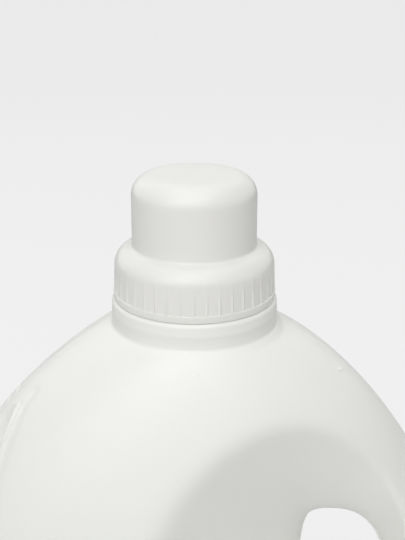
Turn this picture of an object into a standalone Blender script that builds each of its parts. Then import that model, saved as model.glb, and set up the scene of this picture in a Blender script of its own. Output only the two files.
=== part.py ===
"""A laundry detergent jug: a blow-moulded bottle with a pass-through handle, closed by a dosing cap that
screws down over a pouring insert. Metres, +Z up. The bottle stands on z = 0 with its neck on the Z axis,
its handle towards +X and its front towards -Y."""

from math import asin, cos, degrees, pi, radians, sin, tan

import bmesh
import bpy
import numpy as np
from mathutils import Matrix, Vector

# Body. Half widths run from the neck's axis to the side that they name.
GRIP_SIDE_WIDTH = 0.1024
GRIP_SIDE_FOOT = 0.0930
GRIP_SIDE_WIDEST_Z = 0.1180
HANDLE_SIDE_WIDTH = 0.1035
HANDLE_SIDE_FOOT = 0.0920
HANDLE_SIDE_WIDEST_Z = 0.1120
FRONT = 0.0610
FRONT_FOOT = 0.0550
FRONT_WIDEST_Z = 0.1250
SHOULDER_TOP = 0.2276
SHOULDER_FADE = 0.0620
FOOT_FADE = 0.0600
WALL = 0.0012

# How each outline leaves the collar, and how far its curves reach: at the shoulder and at the corner.
GRIP_SIDE_SLOPE = radians(37)
GRIP_SIDE_SHARES = (0.63, 0.49)
HANDLE_SIDE_SLOPE = radians(32)
HANDLE_SIDE_SHARES = (0.65, 0.37)
FRONT_SLOPE = radians(43)
FRONT_SHARES = (0.31, 0.39)
FLANK_SHARE = 0.40

# Fullness of a section's quarter curves, along x and along y.
CIRCLE_SHARE = 0.5523
GRIP_FULLNESS_SHARES = (0.61, 0.58)
HANDLE_FULLNESS_SHARES = (0.50, 0.34)
FOOT_FULLNESS_SHARES = (0.58, 0.54)

# Foot.
HEEL_R = 0.0100
STANDING_RING = 0.0060
PUSH_UP = 0.0040
PUSH_UP_SLOPE = 0.0090

# Handle opening, seen from the front. The handle's tube is what it leaves of the handle side.
HANDLE_TUBE = 0.0220
HOLE_WIDTH = 0.0391
HOLE_DROP = 0.0828
HOLE_RIGHT = HANDLE_SIDE_WIDTH - HANDLE_TUBE
HOLE_LEFT = HOLE_RIGHT - HOLE_WIDTH
HOLE_TOP = SHOULDER_TOP - HOLE_DROP
HOLE_BOTTOM = 0.0520
HOLE_TOP_INSET = 0.0270
HOLE_BOTTOM_INSET = 0.0225
HOLE_END_SHARES = (0.90, 0.38)
HOLE_SIDE_SHARE = 0.92
LIP_R = 0.0060

# Crest line of the pocket: how far it lies from the opening on each side.
POCKET_SWEEP = 0.0724
POCKET_TUBE = 0.0085
POCKET_RISE = 0.0572
POCKET_FALL = 0.0320
POCKET_TOP_INSET = 0.0495
POCKET_BOTTOM_INSET = 0.0255
POCKET_BOTTOM = HOLE_BOTTOM - POCKET_FALL
POCKET_END_SHARES = (0.55, 0.42)
POCKET_SIDE_SHARE = 0.60
POCKET_ROUNDING = 0.0095

# The window round the opening that gets a finer mesh: its share of the handle side, and its room.
HANDLE_WINDOW_SHARE = 0.78
WINDOW_ROOM = 0.0120

# Side grip: two pointed recesses beside a ribbed spine.
GRIP_DROP = 0.0306
GRIP_TOP = SHOULDER_TOP - GRIP_DROP
GRIP_BOTTOM = 0.0300
GRIP_POINT_Y = 0.0100
GRIP_SHOULDER_Y = 0.0235
GRIP_SPINE_Y = 0.0058
GRIP_REACH_Y = 0.0370
GRIP_HEIGHT_SHARES = (0.50, 0.80, 0.88, 0.96)
GRIP_DEPTH = 0.0020
GRIP_CUT_X = 0.0400
GRIP_RIB_PITCH = 0.0060
GRIP_RIB_WIDTH = 0.0012
GRIP_RIB_LENGTH = 0.0060
GRIP_RIB_PROUD = 0.0005
GRIP_RIB_SUNK = 0.0006

# Collar and neck.
COLLAR_R = 0.0325
COLLAR_FILLET = 0.0018
COLLAR_TOP = 0.2380
COLLAR_ROUND = 0.0014
NECK_R = 0.0272
NECK_HEIGHT = 0.0150
NECK_CHAMFER = 0.0005
NECK_BORE_R = 0.0255
NECK_BORE_DEPTH = 0.0130

# Pouring insert.
SEAT_GAP = 0.0003
INSERT_FLANGE_R = 0.0270
INSERT_FLANGE = 0.0012
INSERT_PLUG_DEPTH = 0.0100
INSERT_WALL = 0.0012
SPOUT_R = 0.0150
SPOUT_RISE = 0.0200
SPOUT_LEAN = radians(38)
GUTTER_SLOPE = radians(12)
DRAIN_SLOT = 0.0060

# Sealing ring.
SEAL_MARGIN = 0.0002
SEAL_OUTER_R = INSERT_FLANGE_R - SEAL_MARGIN
SEAL_INNER_R = 0.0245
SEAL_THICKNESS = 0.0015

# Dosing cap.
CAP_LIFT_GAP = 0.0006
CAP_HEIGHT = 0.0462
CUP_R = 0.0235
CUP_WALL = 0.0014
CUP_ROUND = 0.0066
CUP_LIP_DEPTH = 0.0035
GATE_R = 0.0012
GATE_DEPTH = 0.0003
SKIRT_R = 0.0304
SKIRT_HEIGHT = 0.0202
SKIRT_ROUND = 0.0068
SKIRT_CROWN = 78
SKIRT_BORE_R = 0.0294
RIM_R = 0.0313
RIM_HEIGHT = 0.0021
RIM_ROUND = 0.0004
RIB_TOP = 0.0150
FLUTE_R = 0.0306
RIB_COUNT = 40
RIB_WIDTH_SHARE = 0.26
CUP_FILLET = 0.0008

# Mesh fineness.
BODY_QUARTER = 12
BODY_ROWS = 22
BODY_RINGS = 6
PUSH_UP_STEPS = 2
RING_POWER = 1.8
HEEL_STEPS = 3
CURVE_POINTS = 400
HALVINGS = 40
ROUND_COLUMNS = 40
ROUND_STEPS = 5
OVERRUN = 0.0050
MERGE = 0.00001
CRISP_ANGLE = radians(35)
SHOULDER_R = COLLAR_R + COLLAR_FILLET
NECK_TOP = COLLAR_TOP + NECK_HEIGHT


def material(name, colour, roughness):
    """A plain moulded plastic."""
    finish = bpy.data.materials.new(name)
    finish.use_nodes = True
    shader = finish.node_tree.nodes["Principled BSDF"]
    shader.inputs["Base Color"].default_value = (*colour, 1)
    shader.inputs["Roughness"].default_value = roughness
    shader.inputs["Metallic"].default_value = 0
    return finish


def as_object(name, mesh, finish=None):
    """An object of its own for a mesh, shaded smooth with its crisp edges kept."""
    thing = bpy.data.objects.new(name, mesh)
    bpy.context.scene.collection.objects.link(thing)
    if finish:
        mesh.materials.append(finish)
    return thing


def as_cutter(name, mesh):
    """A shape that only cuts others."""
    cutter = as_object(name, mesh)
    cutter.hide_render = True
    cutter.display_type = "WIRE"
    return cutter


def boolean(thing, other, operation="DIFFERENCE"):
    """Cuts another shape from a thing, or joins it to the thing."""
    step = thing.modifiers.new(other.name, "BOOLEAN")
    step.operation = operation
    step.solver = "EXACT"
    step.object = other


def mirror_front_to_back(thing):
    """Completes a front half across the parting plane y = 0."""
    step = thing.modifiers.new("back_half", "MIRROR")
    step.use_axis = (False, True, False)
    step.merge_threshold = MERGE


def move_in(thing, distance):
    """Moves a skin inwards along its normals."""
    step = thing.modifiers.new("inset", "DISPLACE")
    step.strength = -distance
    step.mid_level = 0
    step.direction = "NORMAL"


def bezier(points, t):
    """Points of a cubic curve through its first and last control point."""
    a, b, c, d = (np.outer(p, np.ones_like(t)) for p in points)
    return a * (1 - t) ** 3 + 3 * b * (1 - t) ** 2 * t + 3 * c * (1 - t) * t**2 + d * t**3


def smooth(share):
    """Eases a share from 0 to 1."""
    share = np.clip(share, 0, 1)
    return share * share * (3 - 2 * share)


class Outline:
    """Half width of the body against height, on one of its sides."""

    def __init__(self, widest, foot, widest_z, slope, shares):
        t = np.linspace(0, 1, CURVE_POINTS)
        reach_share, corner_share = shares
        reach = reach_share * (widest - SHOULDER_R)
        shoulder = bezier(
            [
                (widest, widest_z),
                (widest, widest_z + corner_share * (SHOULDER_TOP - widest_z)),
                (SHOULDER_R + reach, SHOULDER_TOP - reach * tan(slope)),
                (SHOULDER_R, SHOULDER_TOP),
            ],
            t,
        )
        fall = FLANK_SHARE * widest_z
        lean = foot + (widest - foot) / 2
        flank = bezier([(foot, 0), (lean, fall), (widest, widest_z - fall), (widest, widest_z)], t)
        self.z = np.concatenate([flank[1], shoulder[1][1:]])
        self.half = np.concatenate([flank[0], shoulder[0][1:]])

    def at(self, z):
        return np.interp(z, self.z, self.half)


GRIP_OUTLINE = Outline(GRIP_SIDE_WIDTH, GRIP_SIDE_FOOT, GRIP_SIDE_WIDEST_Z, GRIP_SIDE_SLOPE, GRIP_SIDE_SHARES)
HANDLE_OUTLINE = Outline(
    HANDLE_SIDE_WIDTH, HANDLE_SIDE_FOOT, HANDLE_SIDE_WIDEST_Z, HANDLE_SIDE_SLOPE, HANDLE_SIDE_SHARES
)
FRONT_OUTLINE = Outline(FRONT, FRONT_FOOT, FRONT_WIDEST_Z, FRONT_SLOPE, FRONT_SHARES)


def fullness(x, z):
    """Shares of a section's quarter curve: round under the collar, slim at the handle, full at the foot."""
    below_collar = smooth((SHOULDER_TOP - z) / SHOULDER_FADE)
    above_foot = smooth(z / FOOT_FADE)
    shares = []
    for grip, handle, foot in zip(GRIP_FULLNESS_SHARES, HANDLE_FULLNESS_SHARES, FOOT_FULLNESS_SHARES):
        body = foot + above_foot * (np.where(x < 0, grip, handle) - foot)
        shares.append(CIRCLE_SHARE + below_collar * (body - CIRCLE_SHARE))
    return shares


def quarter_along(s, share):
    """How far a quarter curve has come along x at its parameter s, as a share."""
    return 3 * share * (1 - s) ** 2 * s + 3 * (1 - s) * s**2 + s**3


def quarter_across(s, share):
    """How far the quarter curve still stands out along y there, as a share."""
    return quarter_along(1 - s, share)


def body_depth(x, z):
    """Half depth of the plain body at a point seen from the front."""
    side = np.where(x < 0, GRIP_OUTLINE.at(z), HANDLE_OUTLINE.at(z))
    along, across = fullness(x, z)
    target = np.clip(np.abs(x) / side, 0, 1)
    low, high = np.zeros_like(target), np.ones_like(target)
    for _ in range(HALVINGS):
        middle = (low + high) / 2
        past = quarter_along(middle, along) > target
        low, high = np.where(past, low, middle), np.where(past, middle, high)
    return FRONT_OUTLINE.at(z) * quarter_across(low, across)


class Loop:
    """A closed outline seen from the front, with four quarter curves, about a centre."""

    def __init__(self, left, right, top, bottom, top_x, bottom_x, end_shares, side_share):
        middle = (top + bottom) / 2
        self.centre = np.array([(left + right) / 2, middle])
        t = np.linspace(0, 1, CURVE_POINTS)
        points = []
        for end_x, end_z in ((top_x, top), (bottom_x, bottom)):
            for side_x, end_share in zip((left, right), end_shares):
                near = end_x + (side_x - end_x) * end_share
                beside = middle + (end_z - middle) * side_share
                corners = [(side_x, middle), (side_x, beside), (near, end_z), (end_x, end_z)]
                points.append(bezier(corners, t).T)
        self.points = np.concatenate(points)
        offset = self.points - self.centre
        angle = np.arctan2(offset[:, 1], offset[:, 0])
        order = np.argsort(angle)
        self.angles, self.radii = angle[order], np.hypot(*offset[order].T)

    def radius(self, angle):
        """Distance from the centre to the outline in a direction."""
        return np.interp(angle, self.angles, self.radii, period=2 * pi)

    def reach(self, x, z):
        """Shortest distance from each point to the outline."""
        gap = np.hypot(x[:, None] - self.points[None, :, 0], z[:, None] - self.points[None, :, 1])
        return gap.min(axis=1)


HOLE = Loop(
    HOLE_LEFT,
    HOLE_RIGHT,
    HOLE_TOP,
    HOLE_BOTTOM,
    HOLE_RIGHT - HOLE_TOP_INSET,
    HOLE_RIGHT - HOLE_BOTTOM_INSET,
    HOLE_END_SHARES,
    HOLE_SIDE_SHARE,
)
CREST = Loop(
    HOLE_LEFT - POCKET_SWEEP,
    HOLE_RIGHT + POCKET_TUBE,
    HOLE_TOP + POCKET_RISE,
    POCKET_BOTTOM,
    HOLE_RIGHT - POCKET_TOP_INSET,
    HOLE_RIGHT - POCKET_BOTTOM_INSET,
    POCKET_END_SHARES,
    POCKET_SIDE_SHARE,
)


def crest_radius(angle):
    """Distance from the opening's centre to the crest line, found by stepping out in each direction."""
    steps = np.linspace(0, HANDLE_SIDE_WIDTH + GRIP_SIDE_WIDTH, CURVE_POINTS)
    x = HOLE.centre[0] + np.outer(np.cos(angle), steps) - CREST.centre[0]
    z = HOLE.centre[1] + np.outer(np.sin(angle), steps) - CREST.centre[1]
    beyond = np.hypot(x, z) - CREST.radius(np.arctan2(z, x))
    return np.array([np.interp(0, line, steps) for line in beyond])


CREST_ANGLES = np.linspace(-pi, pi, CURVE_POINTS)
CREST_RADII = crest_radius(CREST_ANGLES)


def pocket_depth(x, z):
    """Half depth of the pocket's funnel, and how softly it meets the body there. The funnel leaves the
    parting plane at the opening's edge with a round lip and reaches the body's surface at the crest line."""
    dx, dz = x - HOLE.centre[0], z - HOLE.centre[1]
    angle = np.arctan2(dz, dx)
    crest = np.interp(angle, CREST_ANGLES, CREST_RADII, period=2 * pi)
    crest_x = HOLE.centre[0] + crest * np.cos(angle)
    crest_z = HOLE.centre[1] + crest * np.sin(angle)
    run = HOLE.reach(crest_x, crest_z)
    rise = body_depth(crest_x, crest_z)
    steepness = np.maximum((rise**2 - 2 * LIP_R * run) / run**2, 0)
    distance = HOLE.reach(x, z)
    return np.sqrt(2 * LIP_R * distance + steepness * distance**2), POCKET_ROUNDING * np.sqrt(steepness)


def surface_depth(x, z, plain):
    """Half depth of the finished front: the smaller of body and funnel, blended where they meet."""
    funnel, softness = pocket_depth(x, z)
    blend = np.maximum(softness - np.abs(plain - funnel), 0) / np.maximum(softness, MERGE)
    return np.minimum(plain, funnel) - blend**3 * softness / 6


def body_section(z, inset, quarter):
    """One front half section, from the handle's seam over the front to the grip's seam."""
    s = np.concatenate([1 - np.arange(quarter) / quarter, np.arange(quarter + 1) / quarter])
    toward = np.concatenate([np.ones(quarter), -np.ones(quarter + 1)])
    z = np.full_like(s, z)
    along, across = fullness(toward, z)
    side = np.where(toward < 0, GRIP_OUTLINE.at(z), HANDLE_OUTLINE.at(z)) - inset
    x = toward * side * quarter_along(s, along)
    depth = (FRONT_OUTLINE.at(z) - inset) * quarter_across(s, across)
    return x, depth, z


def round_section(r, z, quarter):
    """A front half circle about the neck's axis."""
    angle = np.linspace(0, pi, 2 * quarter + 1)
    depth = r * np.sin(angle)
    depth[-1] = 0
    return r * np.cos(angle), depth, np.full_like(angle, z)


def body_heights(rows):
    """Heights of the body's sections, evenly spaced along the handle side's outline."""
    z, half = HANDLE_OUTLINE.z, HANDLE_OUTLINE.half
    length = np.concatenate([[0], np.cumsum(np.hypot(np.diff(z), np.diff(half)))])
    start = np.interp(HEEL_R, z, length)
    return np.interp(np.linspace(start, length[-1], rows), length, z)


def collar_profile():
    """The turned part above the shoulder, as radius and height."""
    quarter = np.linspace(0, pi / 2, ROUND_STEPS - 1)
    fillet, crown = [], []
    for a in quarter[1:]:
        fillet.append((SHOULDER_R - COLLAR_FILLET * sin(a), SHOULDER_TOP + COLLAR_FILLET * (1 - cos(a))))
    for a in quarter:
        crown.append((COLLAR_R - COLLAR_ROUND * (1 - cos(a)), COLLAR_TOP - COLLAR_ROUND * (1 - sin(a))))
    neck = [(NECK_R, COLLAR_TOP), (NECK_R, NECK_TOP - NECK_CHAMFER), (NECK_R - NECK_CHAMFER, NECK_TOP)]
    return fillet + crown + neck


def plain_profile():
    """The same part with plain corners and the neck at its bore, for the shapes that cut the hollow."""
    return [
        (COLLAR_R, SHOULDER_TOP + COLLAR_FILLET),
        (COLLAR_R, COLLAR_TOP),
        (NECK_BORE_R, COLLAR_TOP),
        (NECK_BORE_R, NECK_TOP),
    ]


def front_half_skin(name, profile):
    """The bottle's outer skin in front of the parting plane: sections lofted from the foot to the collar,
    a window left open in front of the handle, and rings that lead from its edge to the opening's."""
    quarter, rows, rings = BODY_QUARTER, BODY_ROWS, BODY_RINGS
    heights = body_heights(rows)
    sections = []
    for share in np.linspace(1, 0, PUSH_UP_STEPS + 1):
        inset = HEEL_R + STANDING_RING + PUSH_UP_SLOPE * share
        sections.append(body_section(PUSH_UP * smooth(share), inset, quarter))
    for a in np.linspace(0, pi / 2, HEEL_STEPS + 1)[:-1]:
        sections.append(body_section(HEEL_R * (1 - cos(a)), HEEL_R * (1 - sin(a)), quarter))
    below = len(sections)
    sections += [body_section(z, 0, quarter) for z in heights]
    sections += [round_section(r, z, quarter) for r, z in profile]

    first = below + int(np.searchsorted(heights, POCKET_BOTTOM)) - 1
    last = below + int(np.searchsorted(heights, HOLE_TOP + WINDOW_ROOM))
    right = int(round(quarter * (1 - HANDLE_WINDOW_SHARE)))
    left = quarter - 1

    work = bmesh.new()
    grid = []
    for k, (x, depth, z) in enumerate(sections):
        if below <= k < below + rows:
            depth = surface_depth(x, z, depth)
            depth[0] = depth[-1] = 0
        inside = [first < k < last and right < i < left for i in range(len(x))]
        grid.append([None if gone else work.verts.new(p) for gone, p in zip(inside, zip(x, -depth, z))])
    for k in range(len(grid) - 1):
        for i in range(2 * quarter):
            if not (first <= k < last and right <= i < left):
                work.faces.new([grid[k][i], grid[k + 1][i], grid[k + 1][i + 1], grid[k][i + 1]])
    work.faces.new(grid[0])
    work.faces.new(grid[-1][::-1])

    edge = [grid[first][i] for i in range(right, left)]
    edge += [grid[k][left] for k in range(first, last)]
    edge += [grid[last][i] for i in range(left, right, -1)]
    edge += [grid[k][right] for k in range(last, first, -1)]
    outer = edge
    corner = np.array([(v.co.x, v.co.z) for v in edge])
    offset = corner - HOLE.centre
    angle = np.arctan2(offset[:, 1], offset[:, 0])
    contour = HOLE.centre + HOLE.radius(angle)[:, None] * np.stack([np.cos(angle), np.sin(angle)], 1)
    for m in range(rings - 1, -1, -1):
        share = (m / rings) ** RING_POWER
        place = contour + share * (corner - contour)
        depth = surface_depth(place[:, 0], place[:, 1], body_depth(place[:, 0], place[:, 1]))
        if m == 0:
            depth[:] = 0
        inner = [work.verts.new((x, -y, z)) for (x, z), y in zip(place, depth)]
        for n in range(len(edge)):
            after = (n + 1) % len(edge)
            work.faces.new([outer[n], inner[n], inner[after], outer[after]])
        outer = inner
    mesh = bpy.data.meshes.new(name)
    work.to_mesh(mesh)
    work.free()
    mesh.shade_smooth()
    return mesh


def turned(name, rings, close=False):
    """A turned solid from rings of (radius, height, columns). A radius of zero is a single point on the
    axis, a ring with fewer columns than its neighbour meets it at every shared angle, and a radius may be
    a function of the angle. A closed profile joins its last ring to its first."""
    work = bmesh.new()
    loops = []
    for r, z, columns in rings:
        if r == 0:
            loops.append([work.verts.new((0, 0, z))])
            continue
        loop = []
        for n in range(columns):
            a = 2 * pi * n / columns
            here = r(a) if callable(r) else r
            loop.append(work.verts.new((here * cos(a), here * sin(a), z)))
        loops.append(loop)
    pairs = list(zip(loops, loops[1:]))
    if close:
        pairs.append((loops[-1], loops[0]))
    for low, high in pairs:
        join_loops(work, low, high)
    bmesh.ops.recalc_face_normals(work, faces=work.faces)
    mesh = bpy.data.meshes.new(name)
    work.to_mesh(mesh)
    work.free()
    mesh.shade_smooth()
    mesh.set_sharp_from_angle(angle=CRISP_ANGLE)
    return mesh


def join_loops(work, low, high):
    """Faces between two rings, or between a ring and a point."""
    coarse = min(len(low), len(high))
    if coarse == 1:
        ring, point = (low, high[0]) if len(high) == 1 else (high, low[0])
        for n in range(len(ring)):
            work.faces.new([ring[n], ring[(n + 1) % len(ring)], point])
        return
    per_low, per_high = len(low) // coarse, len(high) // coarse
    for n in range(coarse):
        under = [low[(n * per_low + j) % len(low)] for j in range(per_low + 1)]
        over = [high[(n * per_high + j) % len(high)] for j in range(per_high + 1)]
        work.faces.new(under + over[::-1])


def arc(centre_r, centre_z, r, start, end, columns, steps=ROUND_STEPS):
    """Rings along a round edge, from one angle to another, both in degrees from the outward direction."""
    angles = np.linspace(radians(start), radians(end), steps)
    return [(centre_r + r * cos(a), centre_z + r * sin(a), columns) for a in angles]


def leaf_prism(name, margin):
    """The front recess of the side grip, grown by a margin: a tall pointed leaf, as a prism along x."""
    t = np.linspace(0, 1, 2 * ROUND_STEPS)
    middle = (GRIP_TOP + GRIP_BOTTOM) / 2
    half = GRIP_TOP + margin - middle
    low, lower, high, top = (share * half for share in GRIP_HEIGHT_SHARES)
    reach, spine = GRIP_REACH_Y + margin, GRIP_SPINE_Y - margin
    outer = bezier([(reach, 0), (reach, low), (GRIP_SHOULDER_Y, high), (GRIP_POINT_Y, half)], t).T
    inner = bezier([(GRIP_POINT_Y, half), (spine, top), (spine, high), (spine, lower)], t).T
    upper = np.concatenate([outer, inner[1:]])
    lower = upper[::-1] * (1, -1)
    outline = np.concatenate([upper, lower[:-1]])
    work = bmesh.new()
    base = [work.verts.new((-GRIP_CUT_X, -y, middle + z)) for y, z in outline]
    face = work.faces.new(base)
    grown = bmesh.ops.extrude_face_region(work, geom=[face])
    moved = [v for v in grown["geom"] if isinstance(v, bmesh.types.BMVert)]
    bmesh.ops.translate(work, verts=moved, vec=(GRIP_CUT_X - GRIP_SIDE_WIDTH - OVERRUN, 0, 0))
    bmesh.ops.recalc_face_normals(work, faces=work.faces)
    mesh = bpy.data.meshes.new(name)
    work.to_mesh(mesh)
    work.free()
    return mesh


def grip_ribs(name):
    """Small bars across the grip's spine, evenly spaced along the outline and square to it."""
    work = bmesh.new()
    z, half = GRIP_OUTLINE.z, GRIP_OUTLINE.half
    length = np.concatenate([[0], np.cumsum(np.hypot(np.diff(z), np.diff(half)))])
    top, bottom = np.interp([GRIP_TOP, GRIP_BOTTOM], z, length)
    for here in np.arange(top, bottom, -GRIP_RIB_PITCH):
        z = float(np.interp(here, length, GRIP_OUTLINE.z))
        x = -float(GRIP_OUTLINE.at(z))
        low, high = GRIP_OUTLINE.at([z - GRIP_RIB_PITCH / 2, z + GRIP_RIB_PITCH / 2])
        slope = Vector((low - high, 0, GRIP_RIB_PITCH)).normalized()
        out = Vector((-slope.z, 0, slope.x))
        turn = Matrix((out, Vector((0, 1, 0)), slope)).transposed().to_4x4()
        size = Matrix.Diagonal((GRIP_RIB_PROUD + GRIP_RIB_SUNK, GRIP_RIB_LENGTH, GRIP_RIB_WIDTH, 1))
        place = Matrix.Translation(Vector((x, 0, z)) + out * (GRIP_RIB_PROUD - GRIP_RIB_SUNK) / 2)
        bmesh.ops.create_cube(work, size=1, matrix=place @ turn @ size)
    bmesh.ops.recalc_face_normals(work, faces=work.faces)
    mesh = bpy.data.meshes.new(name)
    work.to_mesh(mesh)
    work.free()
    return mesh


def grip_recesses(name, margin, depth):
    """What the side grip leaves out of the bottle: two leaf prisms, down to the skin moved in."""
    floor = as_cutter(name + "_floor", front_half_skin(name + "_floor", plain_profile()))
    mirror_front_to_back(floor)
    move_in(floor, depth)
    recesses = as_cutter(name, leaf_prism(name, margin))
    mirror_front_to_back(recesses)
    boolean(recesses, floor)
    return recesses


def make_bottle(finish):
    """The blown bottle: outer skin, grip recesses, and the hollow inside it."""
    grips = grip_recesses("grip_recesses", 0, GRIP_DEPTH)
    backing = grip_recesses("grip_backing", WALL, GRIP_DEPTH + WALL)
    ribs = as_cutter("grip_ribs", grip_ribs("grip_ribs"))

    cavity = as_cutter("cavity", front_half_skin("cavity", plain_profile()))
    mirror_front_to_back(cavity)
    move_in(cavity, WALL)
    boolean(cavity, backing)

    low, high, c = NECK_TOP - NECK_BORE_DEPTH, NECK_TOP + OVERRUN, 4 * BODY_QUARTER
    mouth_rings = [(0, low, c), (NECK_BORE_R, low, c), (NECK_BORE_R, high, c), (0, high, c)]
    mouth = as_cutter("mouth", turned("mouth", mouth_rings))

    bottle = as_object("bottle", front_half_skin("bottle", collar_profile()), finish)
    mirror_front_to_back(bottle)
    boolean(bottle, grips)
    boolean(bottle, ribs, "UNION")
    boolean(bottle, cavity)
    boolean(bottle, mouth)


def make_spout(finish):
    """The pouring insert: a flange on the neck's rim, a plug in its bore, a sloping gutter, and a spout
    with a raised lip at the front and a slot at the back that lets drips run home."""
    rim = NECK_TOP + SEAT_GAP
    top = rim + INSERT_FLANGE
    plug_r = NECK_BORE_R - SEAT_GAP
    plug_inner = plug_r - INSERT_WALL
    low = rim - INSERT_PLUG_DEPTH
    fall = (plug_inner - SPOUT_R) * tan(GUTTER_SLOPE)
    spout_top = top + SPOUT_RISE
    c = ROUND_COLUMNS
    profile = [
        (plug_r, rim, c),
        (INSERT_FLANGE_R, rim, c),
        (INSERT_FLANGE_R, top, c),
        (plug_inner, top, c),
        (plug_inner, low + INSERT_WALL + fall, c),
        (SPOUT_R, low + INSERT_WALL, c),
        (SPOUT_R, spout_top, c),
        (SPOUT_R - INSERT_WALL, spout_top, c),
        (SPOUT_R - INSERT_WALL, low, c),
        (SPOUT_R, low, c),
        (plug_r, low + fall, c),
    ]
    spout = as_object("pour_spout", turned("pour_spout", profile, close=True), finish)

    size = 2 * (SPOUT_RISE + SPOUT_R)
    work = bmesh.new()
    lean = Matrix.Rotation(SPOUT_LEAN, 4, "X")
    place = Matrix.Translation((0, -SPOUT_R, spout_top))
    bmesh.ops.create_cube(work, size=size, matrix=place @ lean @ Matrix.Translation((0, 0, size / 2)))
    mesh = bpy.data.meshes.new("spout_lip_cut")
    work.to_mesh(mesh)
    work.free()
    boolean(spout, as_cutter("spout_lip_cut", mesh))

    work = bmesh.new()
    slot = Matrix.Diagonal((DRAIN_SLOT, SPOUT_R, SPOUT_RISE, 1))
    centre = (0, SPOUT_R, low + INSERT_WALL + SPOUT_RISE / 2)
    bmesh.ops.create_cube(work, size=1, matrix=Matrix.Translation(centre) @ slot)
    mesh = bpy.data.meshes.new("drain_slot")
    work.to_mesh(mesh)
    work.free()
    boolean(spout, as_cutter("drain_slot", mesh))


def seal_floor():
    """Height of the sealing ring's underside."""
    return NECK_TOP + SEAT_GAP + INSERT_FLANGE + SEAT_GAP


def make_seal(finish):
    """The soft flat ring between the insert's flange and the cap's roof."""
    low = seal_floor()
    high = low + SEAL_THICKNESS
    c = ROUND_COLUMNS
    inner, outer = SEAL_INNER_R, SEAL_OUTER_R
    profile = [(inner, low, c), (outer, low, c), (outer, high, c), (inner, high, c)]
    as_object("cap_seal", turned("cap_seal", profile, close=True), finish)


def make_cap(finish):
    """The dosing cap: a measuring cup on a ribbed skirt, one moulding. The cup's lip reaches down past
    the roof into the insert's gutter."""
    base = COLLAR_TOP + CAP_LIFT_GAP
    top = base + CAP_HEIGHT
    roof = seal_floor() + SEAL_THICKNESS + SEAT_GAP
    pitch = 2 * pi / RIB_COUNT
    c, fine, ribbed = RIB_COUNT, 2 * RIB_COUNT, 4 * RIB_COUNT

    def rib_wave(depth):
        """Radius round a ring of ribs: a narrow bead at each pitch, and a flute between."""
        crest = RIM_R - RIM_ROUND

        def at(angle):
            across = abs((angle + pitch / 2) % pitch - pitch / 2) / pitch
            return crest - depth * float(smooth(across / RIB_WIDTH_SHARE))

        return at

    flute = RIM_R - FLUTE_R
    ribs_low = base + RIM_HEIGHT
    ribs_high = base + RIB_TOP
    cup_inner = CUP_R - CUP_WALL
    lip = seal_floor() - CUP_LIP_DEPTH
    crown_r, crown_z = SKIRT_R - SKIRT_ROUND, base + SKIRT_HEIGHT - SKIRT_ROUND
    bore_round = SKIRT_BORE_R - crown_r
    roof_angle = degrees(asin((roof - crown_z) / bore_round))
    rings = [
        (0, top - GATE_DEPTH, c),
        (GATE_R, top - GATE_DEPTH, c),
        (2 * GATE_R, top, c),
        *arc(CUP_R - CUP_ROUND, top - CUP_ROUND, CUP_ROUND, 90, 0, c),
        (CUP_R, base + SKIRT_HEIGHT + CUP_FILLET, c),
        (CUP_R + CUP_FILLET, base + SKIRT_HEIGHT, fine),
        *arc(crown_r, crown_z, SKIRT_ROUND, SKIRT_CROWN, 0, fine),
        (rib_wave(flute / 2), (ribs_low + ribs_high) / 2, ribbed),
        (rib_wave(flute), ribs_low, ribbed),
        (RIM_R, ribs_low - RIM_ROUND, fine),
        (RIM_R, base + RIM_ROUND, fine),
        (RIM_R - RIM_ROUND, base, fine),
        (SKIRT_BORE_R, base, c),
        *arc(crown_r, crown_z, bore_round, 0, roof_angle, c, ROUND_STEPS // 2 + 1),
        (CUP_R, roof, c),
        (CUP_R, lip, c),
        (cup_inner, lip, c),
        *arc(CUP_R - CUP_ROUND, top - CUP_ROUND, CUP_ROUND - CUP_WALL, 0, 90, c),
        (0, top - CUP_WALL, c),
    ]
    as_object("dosing_cap", turned("dosing_cap", rings), finish)


def main():
    for thing in list(bpy.data.objects):
        bpy.data.objects.remove(thing)
    blown = material("blown_white", (0.86, 0.86, 0.85), 0.34)
    moulded = material("moulded_white", (0.84, 0.84, 0.83), 0.26)
    insert = material("insert_natural", (0.80, 0.80, 0.78), 0.40)
    soft = material("seal_soft", (0.74, 0.74, 0.72), 0.70)
    make_bottle(blown)
    make_spout(insert)
    make_seal(soft)
    make_cap(moulded)


main()
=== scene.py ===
# %% [markdown]
# A laundry jug, dressed for its portrait. The frame holds the four real pieces: a blow-moulded bottle, a
# dosing cap, a pouring insert and a sealing ring. This lesson gives each of them the surface that a
# mould leaves: soft corners, fine ribs, seams and a satin skin.

# %% Load the frame
from math import cos, pi, radians, sin, tan

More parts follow.
